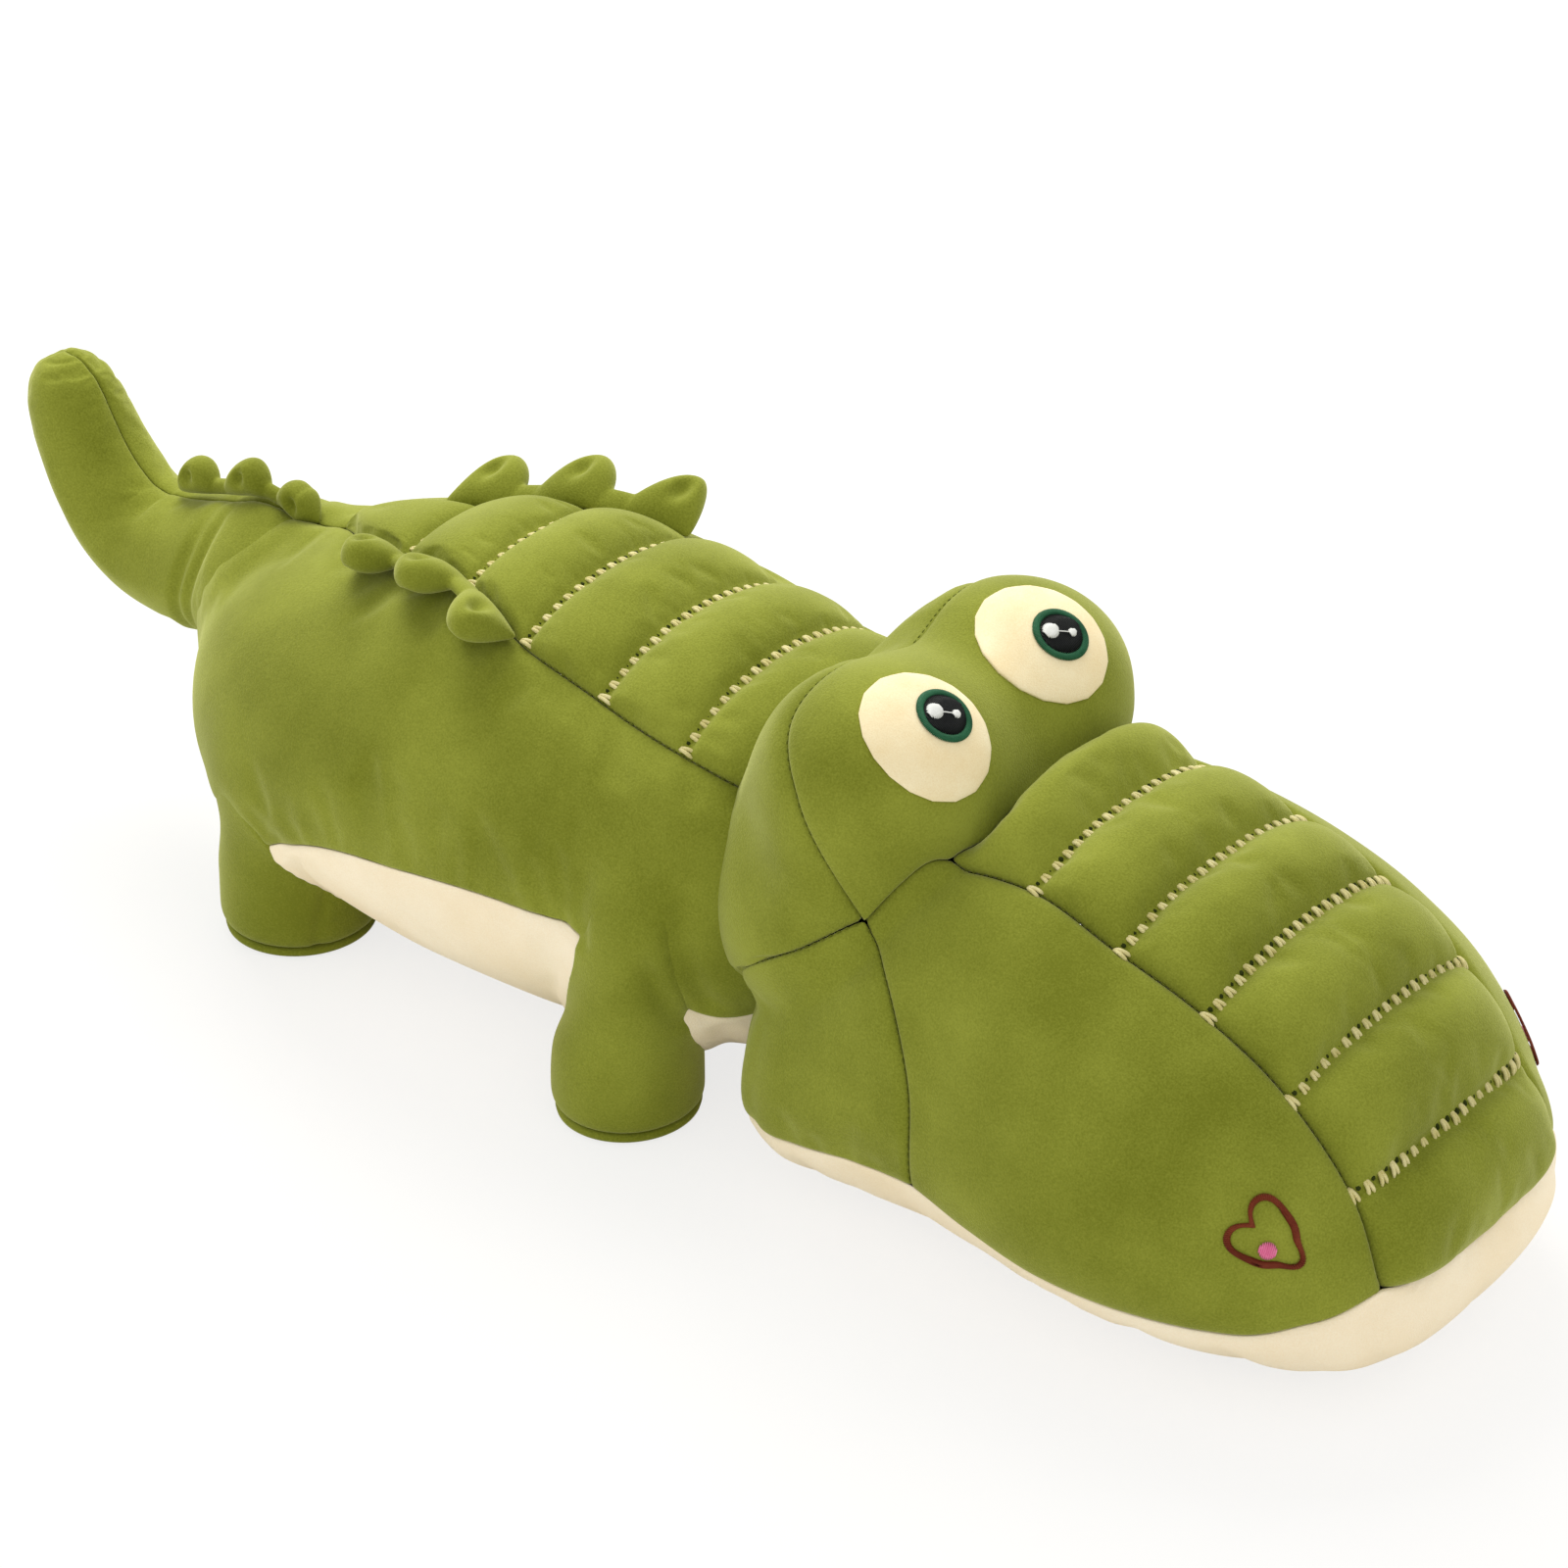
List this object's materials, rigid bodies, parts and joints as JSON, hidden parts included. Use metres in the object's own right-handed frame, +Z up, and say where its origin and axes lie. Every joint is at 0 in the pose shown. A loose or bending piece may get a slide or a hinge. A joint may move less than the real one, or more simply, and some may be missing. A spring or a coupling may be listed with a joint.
{
  "type": "plush crocodile",
  "caption": "Stuffed toy crocodile lying on its belly, with a broad quilted snout, raised eyes, short splaying legs and an upturned tail.",
  "frame": {"origin": "centre of the bounding box in plan, on the floor under the soles", "axes": "+X towards the snout, +Y to the toy's left, +Z up"},
  "size_m": [0.7102, 0.2278, 0.2105],
  "materials": {
    "green_velour": "short soft pile",
    "cream_velour": "short soft pile",
    "fibre_filling": "loose polyester fibre, hidden",
    "eye_patch_cloth": "smooth felt",
    "green_thread": "satin stitch",
    "black_thread": "satin stitch",
    "white_thread": "satin stitch",
    "brown_thread": "satin stitch",
    "pink_thread": "satin stitch"
  },
  "bodies": {
    "torso": {"torso_stuffing": "fibre_filling", "back_panel": "green_velour", "side_panel_left": "green_velour", "side_panel_right": "green_velour", "belly_panel": "cream_velour", "dorsal_ridge_left": "green_velour", "dorsal_ridge_right": "green_velour"},
    "head": {"head_stuffing": "fibre_filling", "face_panel": "green_velour", "head_back_panel": "green_velour", "cheek_left": "green_velour", "cheek_right": "green_velour", "snout_top_panel": "green_velour", "snout_side_left": "green_velour", "snout_side_right": "green_velour", "chin_panel": "cream_velour", "eye_patch_left": "eye_patch_cloth", "iris_left": "green_thread", "pupil_left": "black_thread", "eye_glint_large_left": "white_thread", "eye_glint_small_left": "white_thread", "nostril_heart_left": "brown_thread", "nostril_dot_left": "pink_thread", "eye_patch_right": "eye_patch_cloth", "iris_right": "green_thread", "pupil_right": "black_thread", "eye_glint_large_right": "white_thread", "eye_glint_small_right": "white_thread", "nostril_heart_right": "brown_thread", "nostril_dot_right": "pink_thread"},
    "tail": {"tail_stuffing": "fibre_filling", "tail_panel_left": "green_velour", "tail_panel_right": "green_velour", "tail_ridge": "green_velour"},
    "leg_front_left": {"leg_front_left_stuffing": "fibre_filling", "leg_front_left_cover": "green_velour", "leg_front_left_sole": "green_velour"},
    "leg_front_right": {"leg_front_right_stuffing": "fibre_filling", "leg_front_right_cover": "green_velour", "leg_front_right_sole": "green_velour"},
    "leg_rear_left": {"leg_rear_left_stuffing": "fibre_filling", "leg_rear_left_cover": "green_velour", "leg_rear_left_sole": "green_velour"},
    "leg_rear_right": {"leg_rear_right_stuffing": "fibre_filling", "leg_rear_right_cover": "green_velour", "leg_rear_right_sole": "green_velour"}
  },
  "joints": [
    {"name": "head_nod", "type": "hinge", "parent": "torso", "child": "head", "pos_m": [0.10397, 0, 0.11], "axis": [0, -1, 0], "range_deg": [0, 5], "stiffness_Nm_per_rad": 0.5},
    {"name": "tail_swing", "type": "hinge", "parent": "torso", "child": "tail", "pos_m": [-0.22703, 0, 0.1135], "axis": [0, 0, 1], "range_deg": [-20, 20], "stiffness_Nm_per_rad": 0.2},
    {"name": "leg_front_left_splay", "type": "hinge", "parent": "torso", "child": "leg_front_left", "pos_m": [0.01947, 0.098, 0.11], "axis": [1, 0, 0], "range_deg": [0, 12], "stiffness_Nm_per_rad": 0.3},
    {"name": "leg_front_right_splay", "type": "hinge", "parent": "torso", "child": "leg_front_right", "pos_m": [0.01947, -0.098, 0.11], "axis": [-1, 0, 0], "range_deg": [0, 12], "stiffness_Nm_per_rad": 0.3},
    {"name": "leg_rear_left_splay", "type": "hinge", "parent": "torso", "child": "leg_rear_left", "pos_m": [-0.16703, 0.088, 0.075], "axis": [1, 0, 0], "range_deg": [0, 12], "stiffness_Nm_per_rad": 0.3},
    {"name": "leg_rear_right_splay", "type": "hinge", "parent": "torso", "child": "leg_rear_right", "pos_m": [-0.16703, -0.088, 0.075], "axis": [-1, 0, 0], "range_deg": [0, 12], "stiffness_Nm_per_rad": 0.3}
  ]
}
